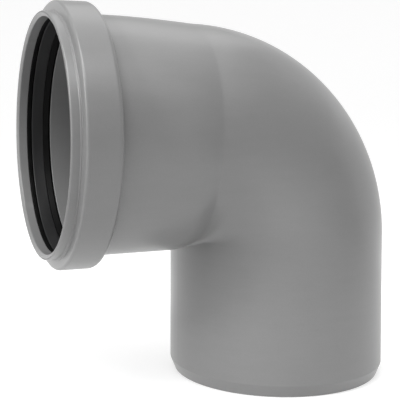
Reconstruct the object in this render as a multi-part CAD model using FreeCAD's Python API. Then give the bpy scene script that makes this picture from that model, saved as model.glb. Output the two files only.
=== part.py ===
import FreeCAD, Part
import math
import os

# Ring-seal drain-pipe bend, 90 degrees, DN 110, in millimetres.
# Origin: centre of the plain spigot's end face. +Z runs up the spigot, and the socket opens towards -X.

# ---- driving dimensions ----
PIPE_R = 55.0               # outside radius of the pipe family
WALL = 3.2                  # wall of the bend and the spigot
WATERWAY_R = PIPE_R - WALL
SOCKET_AXIS_Z = 123.0       # height of the socket's axis over the spigot's end
BEND_R = 51.5               # radius of the bend's centre line, under PIPE_R so that the throat is a crease

SPIGOT_CHAMFER_Z = 5.8      # length of the lead-in chamfer
SPIGOT_END_R = 52.6         # outside radius of the end face
SPIGOT_CHAMFER_ROUND = 1.5
SPIGOT_END_ROUND = 0.2
SPIGOT_GAUGE_Z = 62.0       # the spigot is true to the pipe's size up to here, and grows a little above it
SPIGOT_GROWTH_Z = 2.0       # length over which it grows
SPIGOT_GROWTH_ROUND = 30.0
BEND_SHELL_R = 55.1         # outside radius of the bend

MOUTH_X = -124.9            # front of the rim
BARREL_R = 57.9             # socket barrel, beside the collar
BARREL_END_R = 57.5         # socket barrel, where it starts to narrow into the bend
BARREL_END_X = -70.0
BARREL_END_ROUND = 90.0
BEND_MEET_X = 2.5           # the barrel reaches the bend's outside radius this far before the bend starts
BEND_MEET_ROUND = 28.0
BORE_R = 55.3               # socket bore, which the next pipe slides into
STOP_X = -67.0              # shoulder at the bottom of the socket
STOP_SLOPE_X = 3.0          # the shoulder's length along the axis
STOP_ROUND = 0.5

COLLAR_R = 63.8             # collar that houses the seal
COLLAR_BACK_X = -103.0
COLLAR_BACK_ROUND = 2.4
COLLAR_FRONT_X = -120.8
COLLAR_FRONT_ROUND = 2.2
COLLAR_FRONT_RAKE = 0.7     # the collar's front face leans back by this much
RIM_R = 58.6                # rim standing forward of the collar
RIM_FLARE = 0.5             # the rim is thicker where it meets the collar
RIM_STEP_ROUND = 0.6
RIM_ROUND = 1.15
RIM_BORE_R = 56.0           # inside of the rim's lip
RIM_LEAD_IN = 1.0           # depth of the flare inside the lip
RIM_LEAD_IN_R = 59.0        # radius of that flare just ahead of the rim
RIM_LEAD_IN_ROUND = 1.6

GROOVE_FRONT_X = -119.4     # seal groove inside the collar
GROOVE_BACK_X = -107.2
GROOVE_R = 60.8
GROOVE_ROUND = 0.8
GROOVE_EDGE_ROUND = 0.3

SEAL_PLAY = 0.05            # gap between the seal and the groove, and between the ring and the seal
SEAL_FRONT_R = 56.1         # inside of the front bead
SEAL_BEAD_ROUND = 0.6
SEAL_LIP_R = 55.15          # tip of the lip, as a seated pipe holds it back
SEAL_LIP_BACK_R = 55.65
SEAL_LIP_ROUND = 0.5
SEAL_WEB_R = 57.9           # floor of the channel that carries the stiff ring
SEAL_LIP_FRONT_X = -110.7
SEAL_LIP_TIP_X = -108.1
SEAL_SMALL_ROUND = 0.3

RING_FRONT_X = -116.9       # stiff ring in the seal's channel
RING_BACK_X = -110.8
RING_BORE_R = 56.0
RING_ROUND = 0.5

AHEAD = 2.0                 # how far a hollow runs on past an open end

PIVOT_X = -BEND_R
PIVOT_Z = SOCKET_AXIS_Z - BEND_R
SOCKET_AXIS = FreeCAD.Vector(0, 0, SOCKET_AXIS_Z)
ALONG_X = FreeCAD.Vector(1, 0, 0)
ALONG_Y = FreeCAD.Vector(0, 1, 0)
ALONG_Z = FreeCAD.Vector(0, 0, 1)


def rounded_wire(corners, to_point):
    """Closed outline through (a, b, radius) corners, each rounded by its radius; to_point places (a, b)."""
    count = len(corners)
    starts = []
    ends = []
    middles = []
    for i in range(count):
        corner = FreeCAD.Vector(corners[i][0], corners[i][1], 0)
        before = FreeCAD.Vector(corners[i - 1][0], corners[i - 1][1], 0)
        after = FreeCAD.Vector(corners[(i + 1) % count][0], corners[(i + 1) % count][1], 0)
        back = (before - corner).normalize()
        forth = (after - corner).normalize()
        radius = corners[i][2]
        half = back.getAngle(forth) / 2
        reach = radius / math.tan(half)
        starts.append(corner + back * reach)
        ends.append(corner + forth * reach)
        bisector = (back + forth).normalize()
        middles.append(corner + bisector * (radius / math.sin(half) - radius))
    edges = []
    for i in range(count):
        if corners[i][2] > 0:
            points = [to_point(p.x, p.y) for p in (starts[i], middles[i], ends[i])]
            edges.append(Part.Arc(*points).toShape())
        run_from = to_point(ends[i].x, ends[i].y)
        run_to = to_point(starts[(i + 1) % count].x, starts[(i + 1) % count].y)
        if run_from.distanceToPoint(run_to) > 1e-6:
            edges.append(Part.makeLine(run_from, run_to))
    return Part.Wire(edges)


def on_socket(x, r):
    """Place of a profile point at radius r from the socket's axis."""
    return FreeCAD.Vector(x, 0, SOCKET_AXIS_Z + r)


def on_spigot(r, z):
    """Place of a profile point at radius r from the spigot's axis."""
    return FreeCAD.Vector(r, 0, z)


def turned_about_socket(corners):
    """Solid turned about the socket's axis from a rounded (x, r) outline."""
    face = Part.Face(rounded_wire(corners, on_socket))
    return face.revolve(SOCKET_AXIS, ALONG_X, 360)


def turned_about_spigot(corners):
    """Solid turned about the spigot's axis from a rounded (r, z) outline."""
    face = Part.Face(rounded_wire(corners, on_spigot))
    return face.revolve(FreeCAD.Vector(0, 0, 0), ALONG_Z, 360)


def bend_sector(radius):
    """Quarter turn of a round section about the throat, less what crosses the turning axis."""
    half_chord = math.sqrt(radius ** 2 - BEND_R ** 2)
    low = FreeCAD.Vector(PIVOT_X, -half_chord, PIVOT_Z)
    high = FreeCAD.Vector(PIVOT_X, half_chord, PIVOT_Z)
    heel = FreeCAD.Vector(PIVOT_X, 0, SOCKET_AXIS_Z + radius)
    section = Part.Face(Part.Wire([Part.Arc(low, heel, high).toShape(), Part.makeLine(high, low)]))
    return section.revolve(FreeCAD.Vector(PIVOT_X, 0, PIVOT_Z), ALONG_Y, 90)


def barrel_outside():
    """Solid of the socket barrel, from inside the collar to the start of the bend."""
    return turned_about_socket([
        (COLLAR_BACK_X - 2, 0, 0),
        (COLLAR_BACK_X - 2, BARREL_R, 0),
        (BARREL_END_X, BARREL_END_R, BARREL_END_ROUND),
        (PIVOT_X - BEND_MEET_X, BEND_SHELL_R, BEND_MEET_ROUND),
        (PIVOT_X, BEND_SHELL_R, 0),
        (PIVOT_X, 0, 0),
    ])


def collar_outside():
    """Solid of the collar with the rim in front of it."""
    return turned_about_socket([
        (MOUTH_X, 0, 0),
        (MOUTH_X, RIM_R, RIM_ROUND),
        (COLLAR_FRONT_X, RIM_R + RIM_FLARE, RIM_STEP_ROUND),
        (COLLAR_FRONT_X + COLLAR_FRONT_RAKE, COLLAR_R, COLLAR_FRONT_ROUND),
        (COLLAR_BACK_X, COLLAR_R, COLLAR_BACK_ROUND),
        (COLLAR_BACK_X, 0, 0),
    ])


def spigot_outside():
    """Solid of the spigot with its lead-in chamfer, up to the start of the bend."""
    return turned_about_spigot([
        (0, 0, 0),
        (SPIGOT_END_R, 0, SPIGOT_END_ROUND),
        (PIPE_R, SPIGOT_CHAMFER_Z, SPIGOT_CHAMFER_ROUND),
        (PIPE_R, SPIGOT_GAUGE_Z, SPIGOT_GROWTH_ROUND),
        (BEND_SHELL_R, SPIGOT_GAUGE_Z + SPIGOT_GROWTH_Z, SPIGOT_GROWTH_ROUND),
        (BEND_SHELL_R, PIVOT_Z, 0),
        (0, PIVOT_Z, 0),
    ])


def socket_inside():
    """Hollow of the mouth, the seal groove, the bore and the shoulder that stops the next pipe."""
    return turned_about_socket([
        (MOUTH_X - AHEAD, 0, 0),
        (MOUTH_X - AHEAD, RIM_LEAD_IN_R, 0),
        (MOUTH_X + RIM_LEAD_IN, RIM_BORE_R, RIM_LEAD_IN_ROUND),
        (GROOVE_FRONT_X, RIM_BORE_R, GROOVE_EDGE_ROUND),
        (GROOVE_FRONT_X, GROOVE_R, GROOVE_ROUND),
        (GROOVE_BACK_X, GROOVE_R, GROOVE_ROUND),
        (GROOVE_BACK_X, BORE_R, GROOVE_EDGE_ROUND),
        (STOP_X, BORE_R, STOP_ROUND),
        (STOP_X + STOP_SLOPE_X, WATERWAY_R, STOP_ROUND),
        (PIVOT_X, WATERWAY_R, 0),
        (PIVOT_X, 0, 0),
    ])


def spigot_inside():
    """Hollow of the spigot, open at its end."""
    return turned_about_spigot([
        (0, -AHEAD, 0),
        (WATERWAY_R, -AHEAD, 0),
        (WATERWAY_R, PIVOT_Z, 0),
        (0, PIVOT_Z, 0),
    ])


def elbow_body():
    """The one-piece moulding: socket with its collar, bend and spigot."""
    outside = collar_outside().fuse([barrel_outside(), bend_sector(BEND_SHELL_R), spigot_outside()])
    inside = socket_inside().fuse([bend_sector(WATERWAY_R), spigot_inside()])
    return outside.cut(inside).removeSplitter()


def sealing_ring():
    """Elastomer ring in the groove: a front bead, a channel for the stiff ring and a lip at the back."""
    front_x = GROOVE_FRONT_X + SEAL_PLAY
    back_x = GROOVE_BACK_X - SEAL_PLAY
    outer_r = GROOVE_R - SEAL_PLAY
    channel_x = RING_FRONT_X - SEAL_PLAY
    return turned_about_socket([
        (front_x, outer_r, GROOVE_ROUND + SEAL_SMALL_ROUND),
        (front_x, SEAL_FRONT_R, SEAL_BEAD_ROUND),
        (channel_x, SEAL_FRONT_R, SEAL_BEAD_ROUND),
        (channel_x, SEAL_WEB_R, SEAL_SMALL_ROUND),
        (SEAL_LIP_FRONT_X, SEAL_WEB_R, SEAL_SMALL_ROUND),
        (SEAL_LIP_FRONT_X, RING_BORE_R, SEAL_SMALL_ROUND),
        (SEAL_LIP_TIP_X, SEAL_LIP_R, SEAL_LIP_ROUND),
        (back_x, SEAL_LIP_BACK_R, SEAL_SMALL_ROUND),
        (back_x, outer_r, GROOVE_ROUND + SEAL_SMALL_ROUND),
    ])


def retaining_ring():
    """Stiff ring that sits in the seal's channel and keeps the seal in its groove."""
    outer_r = SEAL_WEB_R - SEAL_PLAY
    return turned_about_socket([
        (RING_FRONT_X, RING_BORE_R, RING_ROUND),
        (RING_BACK_X, RING_BORE_R, RING_ROUND),
        (RING_BACK_X, outer_r, SEAL_SMALL_ROUND),
        (RING_FRONT_X, outer_r, SEAL_SMALL_ROUND),
    ])


os.makedirs("parts", exist_ok=True)
elbow_body().exportStep("parts/elbow_body.step")
sealing_ring().exportStep("parts/sealing_ring.step")
retaining_ring().exportStep("parts/retaining_ring.step")
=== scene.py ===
import math

import bpy
import numpy as np
from mathutils import Matrix, Vector

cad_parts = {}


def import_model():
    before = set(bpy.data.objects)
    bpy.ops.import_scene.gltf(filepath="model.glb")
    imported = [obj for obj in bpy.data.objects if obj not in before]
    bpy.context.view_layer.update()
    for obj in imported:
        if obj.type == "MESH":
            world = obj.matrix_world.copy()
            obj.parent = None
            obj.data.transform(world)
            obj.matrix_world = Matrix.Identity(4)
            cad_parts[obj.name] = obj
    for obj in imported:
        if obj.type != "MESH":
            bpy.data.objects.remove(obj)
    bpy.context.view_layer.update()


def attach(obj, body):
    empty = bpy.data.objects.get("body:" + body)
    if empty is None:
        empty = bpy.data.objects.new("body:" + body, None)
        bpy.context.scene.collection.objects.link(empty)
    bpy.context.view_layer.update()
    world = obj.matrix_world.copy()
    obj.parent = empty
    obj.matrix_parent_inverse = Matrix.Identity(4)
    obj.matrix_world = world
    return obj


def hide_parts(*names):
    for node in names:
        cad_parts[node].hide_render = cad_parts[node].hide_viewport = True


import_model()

# Ring-seal drain-pipe bend. Lengths in the profile code are millimetres in the row frame:
# the spigot's end is centred on the origin and the socket's axis runs along -X at SOCKET_AXIS_Z.
MM = 0.001

# ---- the elbow's dimensions, as in the CAD model ----
SPIGOT_R = 55.0
SHELL_R = 55.04             # outside of the bend
WATERWAY_R = 51.8
SOCKET_AXIS_Z = 123.0
BEND_R = 51.5
BARREL_R = 57.9
COLLAR_R = 63.74
COLLAR_BACK_X = -103.0
MOUTH_X = -124.88
GROOVE_FRONT_X = -119.4
GROOVE_BACK_X = -107.2
GROOVE_R = 60.8
LIP_R = 56.0                # bore of the rim, in front of the groove
BORE_R = 55.3
STOP_X = -67.0
GAUGE_Z = 62.0              # the spigot keeps its exact radius up to here

# ---- shape of the narrowing from the barrel into the bend: (heel, flank, throat) ----
NARROW_START_X = (-97.0, -72.0, -64.0)
NARROW_END_X = (-50.0, -54.3, -53.0)
NARROW_BY = BARREL_R - SHELL_R
DRAFT = 0.009               # the barrel's draft, millimetres of radius for each millimetre
DRAFT_LENGTH = 40.0

# ---- small features of the moulding ----
CREASE_ROUND = 1.35         # least radius of the outside crease at the throat
INNER_CREASE_ROUND = 0.9
CREASE_BLEND = 0.8
PARTING_RIDGE = 0.045       # height of the mould's parting line, in the plane of symmetry
COLLAR_PARTING_RIDGE = 0.04
PARTING_WIDTH = 0.32
WELD_ANGLE = math.radians(33.9)     # weld line across the rim's bore
WELD_RIDGE = 0.32
WELD_WIDTH = 0.5
FLASH_ANGLE = math.radians(132.8)   # nick of flash on the back edge of the rim's bore
FLASH_HEIGHT = 0.5
FLASH_WIDTH = 0.9

# ---- mesh density ----
SIDES = 264
PARTING_STEPS = (0.13, 0.28, 0.5, 0.85, 1.3)  # millimetres to each side of the parting line
BARREL_RINGS = 44
BEND_RINGS = 72
INNER_BEND_RINGS = 48


# ---- outlines ----
def smooth(t):
    """0 to 1 with level ends."""
    t = np.clip(t, 0.0, 1.0)
    return t * t * (3.0 - 2.0 * t)


def rounded(corners, steps=6, step_mm=2.5, guard=0.12):
    """Open outline through (a, b, radius) corners.

    Corners are rounded to their radius. Straight runs are divided, with a point close to each end.
    """
    places = [np.array(c[:2], float) for c in corners]
    reaches = [0.0] * len(corners)
    arcs = [[places[0]]]
    for i in range(1, len(corners) - 1):
        back = places[i - 1] - places[i]
        forth = places[i + 1] - places[i]
        back /= np.linalg.norm(back)
        forth /= np.linalg.norm(forth)
        half = math.acos(float(np.clip(back @ forth, -1, 1))) / 2
        radius = corners[i][2]
        reaches[i] = radius / math.tan(half)
        bisector = (back + forth) / np.linalg.norm(back + forth)
        centre = places[i] + bisector * radius / math.sin(half)
        start = places[i] + back * reaches[i] - centre
        end = places[i] + forth * reaches[i] - centre
        turn = math.pi - 2 * half
        arc = []
        for k in range(steps + 1):
            share = k / steps
            swept = start * math.sin((1 - share) * turn) + end * math.sin(share * turn)
            arc.append(centre + swept / math.sin(turn))
        arcs.append(arc)
    arcs.append([places[-1]])
    points = list(arcs[0])
    for before, after in zip(arcs, arcs[1:]):
        start, end = before[-1], after[0]
        length = float(np.linalg.norm(end - start))
        shares = []
        if length > 4 * guard:
            pieces = max(1, round(length / step_mm))
            inner = [k / pieces for k in range(1, pieces)]
            shares = [guard / length] + inner + [1 - guard / length]
        points += [start + (end - start) * s for s in shares]
        points += after
    return np.array(points)


def around():
    """Angles of the lengthwise lines about the pipe's axis, set closer at the parting line.

    0 is the heel and pi the throat.
    """
    even = np.linspace(0, 2 * math.pi, SIDES, endpoint=False)
    fine = [s * d / SPIGOT_R for d in PARTING_STEPS for s in (1, -1)]
    extra = [(base + f) % (2 * math.pi) for base in (0.0, math.pi) for f in fine]
    clear = 1.9 / SPIGOT_R
    kept = [a for a in even if min(abs(math.sin(a / 2)) * 2, abs(math.cos(a / 2)) * 2) > clear]
    return np.array(sorted(kept + extra + [0.0, math.pi]))


THETA = around()
COS = np.cos(THETA)
SIN = np.sin(THETA)


def along_rim(values):
    """A (heel, flank, throat) triple carried smoothly round the pipe."""
    heel, flank, throat = values
    even = (heel + throat) / 2
    return even + (heel - throat) / 2 * COS + (flank - even) * SIN ** 2


def parting(amount=PARTING_RIDGE):
    """Height of the parting line on each lengthwise line."""
    off = np.minimum(np.abs(np.sin(THETA / 2)), np.abs(np.cos(THETA / 2))) * 2 * SPIGOT_R
    return amount * np.exp(-(off / PARTING_WIDTH) ** 2)


def narrowing(run_x):
    """How far the outside stands proud of the bend's radius, along the barrel and into the bend."""
    start = along_rim(NARROW_START_X)
    end = along_rim(NARROW_END_X)
    t = np.clip((run_x - start) / (end - start), 0.0, 1.0)
    share = (1.0 - t ** 1.9) ** 1.06
    draft = DRAFT * np.clip(run_x - COLLAR_BACK_X, 0.0, DRAFT_LENGTH)
    return np.maximum((NARROW_BY - draft) * share, 0.0)


def crease(radius, least, blend):
    """Radius of each lengthwise line's turn: the bend's own, and never under the least."""
    free = BEND_R + radius * COS - least
    return least + (free + np.sqrt(free ** 2 + 4 * blend ** 2)) / 2


# ---- rings of points round the pipe ----
def socket_ring(x, r):
    r = np.asarray(r, float) * np.ones_like(THETA)
    x = np.asarray(x, float) * np.ones_like(THETA)
    return np.stack([x, r * SIN, SOCKET_AXIS_Z + r * COS], axis=1)


def spigot_ring(r, z):
    r = np.asarray(r, float) * np.ones_like(THETA)
    z = np.asarray(z, float) * np.ones_like(THETA)
    return np.stack([r * COS, r * SIN, z], axis=1)


def bend_ring(radius, turn, alpha, proud):
    """Ring at angle alpha round the bend.

    turn is each line's own radius of turn, and proud is how far the ring stands off the wall.
    """
    x = radius * COS - turn + turn * math.sin(alpha) + proud * COS * math.sin(alpha)
    z = SOCKET_AXIS_Z + radius * COS - turn + turn * math.cos(alpha) + proud * COS * math.cos(alpha)
    return np.stack([x, (radius + proud) * SIN, z], axis=1)


def collar_rings():
    """The rim's nose, a small step on the rim, the collar and the start of the barrel."""
    outline = rounded([
        (MOUTH_X, 58.1, 0.0),
        (MOUTH_X, 58.75, 0.85),
        (-121.0, 58.85, 0.3),
        (-120.7, 59.2, 0.3),
        (-120.1, 59.2, 0.4),
        (-119.5, COLLAR_R, 1.3),
        (COLLAR_BACK_X, COLLAR_R, 2.4),
        (COLLAR_BACK_X, BARREL_R, 0.35),
        (COLLAR_BACK_X + 1.2, BARREL_R, 0.0),
    ], steps=8)
    rings = []
    for x, r in outline:
        on_collar = smooth((r - 61.5) / 1.8)
        rings.append(socket_ring(x, r + parting(COLLAR_PARTING_RIDGE) * on_collar))
    return rings, outline[-1][0]


def spigot_rings(end_z):
    """The spigot's outside, from the end of the bend down to the chamfered end face."""
    low_z = 20.0
    end = rounded([
        (SPIGOT_R, low_z, 0.0),
        (SPIGOT_R, 5.8, 1.5),
        (52.6, 0.0, 0.45),
        (52.2, 0.0, 0.0),
    ], steps=7)
    rings = []
    for share in np.linspace(0, 1, 24)[1:-1]:
        z = end_z + (low_z - end_z) * share
        r = SPIGOT_R + (SHELL_R - SPIGOT_R) * smooth((z - GAUGE_Z) / 2)
        rings.append(spigot_ring(r + parting(), z))
    for r, z in end:
        rings.append(spigot_ring(r + parting() * smooth((z - 5.5) / 3), z))
    return rings


def outside_rings():
    """Rings over the outside, from the rim's nose to the spigot's end face."""
    rings, start_x = collar_rings()
    turn = crease(SHELL_R, CREASE_ROUND, CREASE_BLEND)
    end_x = SHELL_R * COS - turn
    for share in np.linspace(0, 1, BARREL_RINGS + 1)[1:] ** 0.9:
        x = start_x + (end_x - start_x) * share
        r = SHELL_R + narrowing(x) + parting() * smooth((x - start_x) / 2)
        rings.append(socket_ring(x, r))
    for k in range(1, BEND_RINGS + 1):
        alpha = math.pi / 2 * k / BEND_RINGS
        proud = narrowing(end_x + turn * alpha) * (1 - smooth(alpha / (math.pi / 2)))
        rings.append(bend_ring(SHELL_R, turn, alpha, proud + parting()))
    return rings + spigot_rings(SOCKET_AXIS_Z + SHELL_R * COS - turn)


def socket_inside_rings(first_x):
    """From the waterway over the pipe stop, the bore and the seal groove to the rim's nose."""
    outline = rounded([
        (first_x, WATERWAY_R, 0.0),
        (STOP_X + 3.0, WATERWAY_R, 0.5),
        (STOP_X, BORE_R, 0.5),
        (GROOVE_BACK_X, BORE_R, 0.35),
        (GROOVE_BACK_X, GROOVE_R, 0.8),
        (GROOVE_FRONT_X, GROOVE_R, 0.8),
        (GROOVE_FRONT_X, LIP_R, 0.35),
        (MOUTH_X + 0.9, LIP_R, 0.8),
        (MOUTH_X, 57.5, 0.3),
        (MOUTH_X, 58.05, 0.0),
    ], steps=6, step_mm=3.0)
    line = WELD_RIDGE * np.exp(-((THETA - WELD_ANGLE) * LIP_R / WELD_WIDTH) ** 2)
    around_tab = np.exp(-((THETA - FLASH_ANGLE) * LIP_R / FLASH_WIDTH) ** 2)
    rings = []
    for x, r in outline:
        on_lip = smooth((GROOVE_FRONT_X - x + 0.3) / 0.6) * (r < 58.0)
        tab = FLASH_HEIGHT * around_tab * math.exp(-((x - GROOVE_FRONT_X) / FLASH_WIDTH) ** 2)
        rings.append(socket_ring(x, r - on_lip * (line + tab)))
    return rings


def inside_rings():
    """Rings over the inside, from the spigot's end face back to the rim's nose."""
    turn = crease(WATERWAY_R, INNER_CREASE_ROUND, CREASE_BLEND)
    end_z = SOCKET_AXIS_Z + WATERWAY_R * COS - turn
    end_x = WATERWAY_R * COS - turn
    lip_z = 3.0
    lip = rounded([
        (52.0, 0.0, 0.0),
        (WATERWAY_R, 0.0, 0.18),
        (WATERWAY_R, lip_z, 0.0),
    ], steps=4, guard=0.02)
    rings = [spigot_ring(r, z) for r, z in lip]
    for share in np.linspace(0, 1, 22)[1:]:
        rings.append(spigot_ring(WATERWAY_R, lip_z + (end_z - lip_z) * share))
    for k in range(INNER_BEND_RINGS - 1, -1, -1):
        alpha = math.pi / 2 * k / INNER_BEND_RINGS
        rings.append(bend_ring(WATERWAY_R, turn, alpha, 0.0))
    socket_x = STOP_X + 5.0
    for share in (0.25, 0.5, 0.75):
        rings.append(socket_ring(end_x + (socket_x - end_x) * share, WATERWAY_R))
    return rings + socket_inside_rings(socket_x)


def ring_profile(corners, steps=6, step_mm=1.0):
    """Closed outline of a ring, from corners given in order, as (x, r) points."""
    first = corners[0]
    middle = ((first[0] + corners[-1][0]) / 2, (first[1] + corners[-1][1]) / 2, 0.0)
    return rounded([middle, *corners, middle], steps, step_mm, 0.06)[:-1]


# ---- meshes ----
def tube_mesh(name, rings):
    """Closed tube from rings of points, with the last ring joined to the first."""
    points = np.concatenate(rings) * MM
    n = len(THETA)
    count = len(rings)
    a = np.arange(count)[:, None] * n + np.arange(n)[None, :]
    b = np.roll(a, -1, axis=1)
    c = np.roll(np.roll(a, -1, axis=0), -1, axis=1)
    d = np.roll(a, -1, axis=0)
    faces = np.stack([a, b, c, d], axis=-1).reshape(-1, 4)
    sample = points[faces]
    normals = np.cross(sample[:, 2] - sample[:, 0], sample[:, 3] - sample[:, 1])
    if float(np.einsum("ij,ij->", sample.mean(axis=1), normals)) < 0:
        faces = faces[:, ::-1]
    mesh = bpy.data.meshes.new(name)
    mesh.from_pydata(points.tolist(), [], faces.tolist())
    mesh.polygons.foreach_set("use_smooth", [True] * len(mesh.polygons))
    mesh.update()
    obj = bpy.data.objects.new(name, mesh)
    bpy.context.scene.collection.objects.link(obj)
    return obj


def elbow_mesh():
    return tube_mesh("elbow", outside_rings() + inside_rings())


def seal_mesh():
    """Elastomer ring: a front bead, a channel for the stiff ring, and a slightly wavy back lip."""
    profile = ring_profile([
        (-119.33, 60.72, 1.1),
        (-119.33, 56.1, 0.6),
        (-116.97, 56.1, 0.6),
        (-116.97, 57.95, 0.3),
        (-110.72, 57.95, 0.3),
        (-110.72, 56.0, 0.3),
        (-108.1, 55.17, 0.5),
        (-107.27, 55.67, 0.3),
        (-107.27, 60.72, 1.1),
    ])
    rings = []
    waver = np.abs(0.035 * np.sin(7 * THETA + 0.8) + 0.02 * np.sin(17 * THETA))
    for x, r in profile:
        inner = 1.0 if r < 57.0 else 0.0
        rings.append(socket_ring(x, r + inner * waver))
    return tube_mesh("lip_seal", rings)


def stiff_ring_mesh():
    profile = ring_profile([
        (-116.9, 56.22, 0.3),
        (-110.8, 56.22, 0.3),
        (-110.8, 57.84, 0.3),
        (-116.9, 57.84, 0.3),
    ])
    return tube_mesh("stiff_ring", [socket_ring(x, r) for x, r in profile])


# ---- materials ----
def material(name):
    mat = bpy.data.materials.new(name)
    mat.use_nodes = True
    tree = mat.node_tree
    shader = next(n for n in tree.nodes if n.type == "BSDF_PRINCIPLED")
    place = tree.nodes.new("ShaderNodeTexCoord").outputs["Object"]
    return mat, tree, shader, place


def noise(tree, place, scale, detail=2.0, rough=0.5, stretch=None):
    if stretch is not None:
        mapping = tree.nodes.new("ShaderNodeMapping")
        mapping.inputs["Scale"].default_value = stretch
        tree.links.new(place, mapping.inputs["Vector"])
        place = mapping.outputs["Vector"]
    n = tree.nodes.new("ShaderNodeTexNoise")
    n.inputs["Scale"].default_value = scale
    n.inputs["Detail"].default_value = detail
    n.inputs["Roughness"].default_value = rough
    tree.links.new(place, n.inputs["Vector"])
    return n.outputs["Fac"]


def spread(tree, value, low, high, to_low=0.0, to_high=1.0):
    n = tree.nodes.new("ShaderNodeMapRange")
    n.inputs["From Min"].default_value = low
    n.inputs["From Max"].default_value = high
    n.inputs["To Min"].default_value = to_low
    n.inputs["To Max"].default_value = to_high
    tree.links.new(value, n.inputs["Value"])
    return n.outputs["Result"]


def combine(tree, operation, a, b):
    n = tree.nodes.new("ShaderNodeMath")
    n.operation = operation
    for socket, value in zip(n.inputs, (a, b)):
        if isinstance(value, (int, float)):
            socket.default_value = value
        else:
            tree.links.new(value, socket)
    return n.outputs["Value"]


def tint(tree, factor, low, high):
    n = tree.nodes.new("ShaderNodeMix")
    n.data_type = "RGBA"
    n.inputs["A"].default_value = (*low, 1)
    n.inputs["B"].default_value = (*high, 1)
    tree.links.new(factor, n.inputs["Factor"])
    return n.outputs["Result"]


def bump(tree, height, distance, strength=1.0, under=None):
    n = tree.nodes.new("ShaderNodeBump")
    n.inputs["Strength"].default_value = strength
    n.inputs["Distance"].default_value = distance
    tree.links.new(height, n.inputs["Height"])
    if under is not None:
        tree.links.new(under, n.inputs["Normal"])
    return n.outputs["Normal"]


PVC_DARK = (0.175, 0.175, 0.175)
PVC_LIGHT = (0.205, 0.205, 0.205)
RUBBER_DARK = (0.0016, 0.0016, 0.0016)
RUBBER_LIGHT = (0.005, 0.005, 0.005)
STIFF_RING_DARK = (0.016, 0.016, 0.0165)
STIFF_RING_LIGHT = (0.024, 0.024, 0.0245)


def pvc_material():
    """Satin grey PVC: even colour with faint flow marks, a moulded skin and light scuffs."""
    mat, tree, shader, place = material("grey_pvc_satin")
    clouds = noise(tree, place, 22.0, 3.0)
    speckle = noise(tree, place, 1600.0, 2.0)
    flow = noise(tree, place, 60.0, 3.0, 0.6, (1.0, 1.0, 5.0))
    scuffs = spread(tree, noise(tree, place, 130.0, 5.0, 0.7, (4.0, 1.0, 1.0)), 0.64, 0.74)
    mixed = combine(tree, "MULTIPLY", clouds, 0.5)
    for layer, share in ((speckle, 0.3), (flow, 0.2), (scuffs, 0.12)):
        mixed = combine(tree, "ADD", mixed, combine(tree, "MULTIPLY", layer, share))
    colour = tint(tree, spread(tree, mixed, 0.3, 0.75), PVC_DARK, PVC_LIGHT)
    tree.links.new(colour, shader.inputs["Base Color"])
    sheen = spread(tree, clouds, 0.3, 0.7, 0.285, 0.335)
    sheen = combine(tree, "ADD", sheen, combine(tree, "MULTIPLY", scuffs, 0.1))
    tree.links.new(sheen, shader.inputs["Roughness"])
    skin = bump(tree, noise(tree, place, 420.0, 2.0), 0.00003, 0.5)
    wave = bump(tree, noise(tree, place, 38.0, 2.0), 0.0003, 0.2, skin)
    tree.links.new(wave, shader.inputs["Normal"])
    shader.inputs["IOR"].default_value = 1.53
    return mat


def rubber_material():
    """Black EPDM: dull, with a bloom of pale dust and a fine skin."""
    mat, tree, shader, place = material("black_epdm")
    bloom = noise(tree, place, 160.0, 4.0, 0.6)
    colour = tint(tree, spread(tree, bloom, 0.35, 0.75), RUBBER_DARK, RUBBER_LIGHT)
    tree.links.new(colour, shader.inputs["Base Color"])
    tree.links.new(spread(tree, bloom, 0.3, 0.7, 0.42, 0.6), shader.inputs["Roughness"])
    skin = bump(tree, noise(tree, place, 900.0, 3.0), 0.00006, 0.5)
    tree.links.new(skin, shader.inputs["Normal"])
    shader.inputs["Specular IOR Level"].default_value = 0.08
    return mat


def stiff_ring_material():
    """Dark grey moulded polypropylene, smooth with faint rubbing marks."""
    mat, tree, shader, place = material("dark_polypropylene")
    rub = noise(tree, place, 90.0, 4.0, 0.6, (1.0, 0.25, 0.25))
    colour = tint(tree, spread(tree, rub, 0.35, 0.7), STIFF_RING_DARK, STIFF_RING_LIGHT)
    tree.links.new(colour, shader.inputs["Base Color"])
    tree.links.new(spread(tree, rub, 0.3, 0.7, 0.34, 0.46), shader.inputs["Roughness"])
    skin = bump(tree, noise(tree, place, 500.0, 2.0), 0.00004, 0.4)
    tree.links.new(skin, shader.inputs["Normal"])
    return mat


# ---- stage ----
FLOOR_DARK = (0.53, 0.53, 0.53)
FLOOR_LIGHT = (0.55, 0.55, 0.55)
MIDDLE_GLOW = 0.57                  # floor's own light round the spigot's foot
BACK_GLOW = 0.62                    # and on the backdrop's side
FRONT_GLOW = 0.04                   # and everywhere else
GLOW_CENTRE = (0.07, -0.05, 0.0)
BACKDROP_SIDE = (0.36, 0.93, 0.0)   # horizontal direction towards the backdrop
FLOOR_REACH = 3.0                   # metres to each side
FLOOR_FLAT = 1.5                    # radius at which the floor starts to turn up
FLOOR_CURVE = 0.5
FLOOR_DROP = 0.0002                 # gap under the spigot's end


def vector_math(tree, operation, a, b):
    n = tree.nodes.new("ShaderNodeVectorMath")
    n.operation = operation
    tree.links.new(a, n.inputs[0])
    n.inputs[1].default_value = b
    return n.outputs["Value"]


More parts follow.
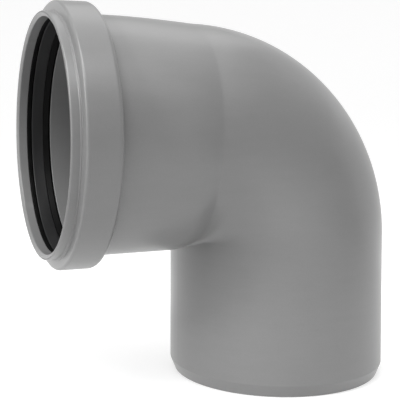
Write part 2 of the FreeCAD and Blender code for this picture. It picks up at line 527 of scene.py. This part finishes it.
def floor_material():
    """Pale, matt, softly lit stage. Its back glows like a lit backdrop, and its front is dimmer."""
    mat, tree, shader, place = material("pale_floor")
    colour = tint(tree, noise(tree, place, 4.0, 3.0), FLOOR_DARK, FLOOR_LIGHT)
    tree.links.new(colour, shader.inputs["Base Color"])
    shader.inputs["Roughness"].default_value = 0.9
    shader.inputs["Specular IOR Level"].default_value = 0.1
    shader.inputs["Emission Color"].default_value = (1, 1, 1, 1)
    away = vector_math(tree, "DISTANCE", place, GLOW_CENTRE)
    behind = vector_math(tree, "DOT_PRODUCT", place, BACKDROP_SIDE)
    near = spread(tree, away, 0.17, 0.36, MIDDLE_GLOW, FRONT_GLOW)
    back = spread(tree, behind, -0.04, 0.16, FRONT_GLOW, BACK_GLOW)
    tree.links.new(combine(tree, "MAXIMUM", near, back), shader.inputs["Emission Strength"])
    return mat


def floor():
    """Large pale floor, a shallow dished sheet so that its far edge turns up."""
    steps = 48
    grid = np.linspace(-FLOOR_REACH, FLOOR_REACH, steps)
    verts = []
    for x in grid:
        for y in grid:
            past = max(0.0, math.hypot(x, y) - FLOOR_FLAT)
            verts.append((x, y, -FLOOR_DROP + FLOOR_CURVE * past ** 2))
    faces = []
    for i in range(steps - 1):
        for j in range(steps - 1):
            k = i * steps + j
            faces.append((k, k + steps, k + steps + 1, k + 1))
    mesh = bpy.data.meshes.new("floor")
    mesh.from_pydata(verts, [], faces)
    mesh.polygons.foreach_set("use_smooth", [True] * len(mesh.polygons))
    obj = bpy.data.objects.new("floor", mesh)
    bpy.context.scene.collection.objects.link(obj)
    mesh.materials.append(floor_material())
    return obj


def softbox(name, azimuth, elevation, distance, width, height, power):
    """Area light aimed at the elbow's middle. Angles in degrees: azimuth 0 is -Y, and 90 is +X."""
    a = math.radians(azimuth)
    e = math.radians(elevation)
    away = Vector((math.sin(a) * math.cos(e), -math.cos(a) * math.cos(e), math.sin(e)))
    data = bpy.data.lights.new(name, "AREA")
    data.shape = "RECTANGLE"
    data.size = width
    data.size_y = height
    data.energy = power
    obj = bpy.data.objects.new(name, data)
    obj.location = MIDDLE + away * distance
    obj.rotation_mode = "QUATERNION"
    obj.rotation_quaternion = away.to_track_quat("Z", "Y")
    bpy.context.scene.collection.objects.link(obj)
    return obj


def world(ambient):
    """Even white surroundings, above and beyond the floor."""
    w = bpy.data.worlds.new("studio")
    bpy.context.scene.world = w
    w.use_nodes = True
    back = w.node_tree.nodes["Background"]
    back.inputs["Color"].default_value = (1, 1, 1, 1)
    back.inputs["Strength"].default_value = ambient


MIDDLE = Vector((-0.035, 0.0, 0.095))
AMBIENT = 0.46
LIGHTS = (
    # name, azimuth, elevation, distance, width, height (metres), power (watts)
    ("overhead", 0, 89, 1.3, 1.5, 1.5, 6.0),
    ("top_front", -12, 55, 1.2, 0.7, 0.5, 4.5),
    ("top_back", 150, 55, 1.2, 0.8, 0.5, 1.2),
    ("left_key", -77, 28, 0.9, 0.1, 0.17, 2.4),
    ("left_low", -95, 8, 1.0, 0.8, 0.3, 1.4),
    ("left_high", -60, 55, 1.1, 0.5, 0.5, 5.5),
    ("front_box", 29, 43, 1.1, 0.25, 0.25, 0.2),
    ("right_fill", 100, 32, 1.1, 0.6, 0.6, 0.5),
)


# ---- camera ----
TURN = math.radians(21.0354)     # heading, from +Y towards +X
PITCH = math.radians(2.715)      # looking down
AIM = (-0.0579989, 0.0, 0.1174424)
DISTANCE = 0.4393729
LENS = 78.9685
SHIFT = (0.07, -0.1375)


def camera():
    level = math.cos(PITCH)
    forward = Vector((math.sin(TURN) * level, math.cos(TURN) * level, -math.sin(PITCH)))
    right = Vector((math.cos(TURN), -math.sin(TURN), 0.0))
    up = right.cross(forward)
    data = bpy.data.cameras.new("camera")
    data.sensor_width = 36.0
    data.lens = LENS
    data.shift_x, data.shift_y = SHIFT
    data.clip_start = 0.01
    data.clip_end = 50.0
    obj = bpy.data.objects.new("camera", data)
    turn = Matrix((right, up, -forward)).transposed()
    obj.matrix_world = Matrix.Translation(Vector(AIM) - DISTANCE * forward) @ turn.to_4x4()
    bpy.context.scene.collection.objects.link(obj)
    bpy.context.scene.camera = obj
    return obj


# ---- putting it together ----
for piece, node, slot, finish in (
    (elbow_mesh(), "elbow_body", "grey_pvc", pvc_material()),
    (seal_mesh(), "sealing_ring", "black_rubber", rubber_material()),
    (stiff_ring_mesh(), "retaining_ring", "dark_plastic", stiff_ring_material()),
):
    piece.data.materials.append(finish)
    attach(piece, "root")
    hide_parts(node)

floor()
world(AMBIENT)
for light in LIGHTS:
    softbox(*light)
camera()

scene = bpy.context.scene
scene.view_settings.view_transform = "Standard"
scene.view_settings.look = "None"
scene.view_settings.exposure = 0.0
scene.view_settings.gamma = 1.0
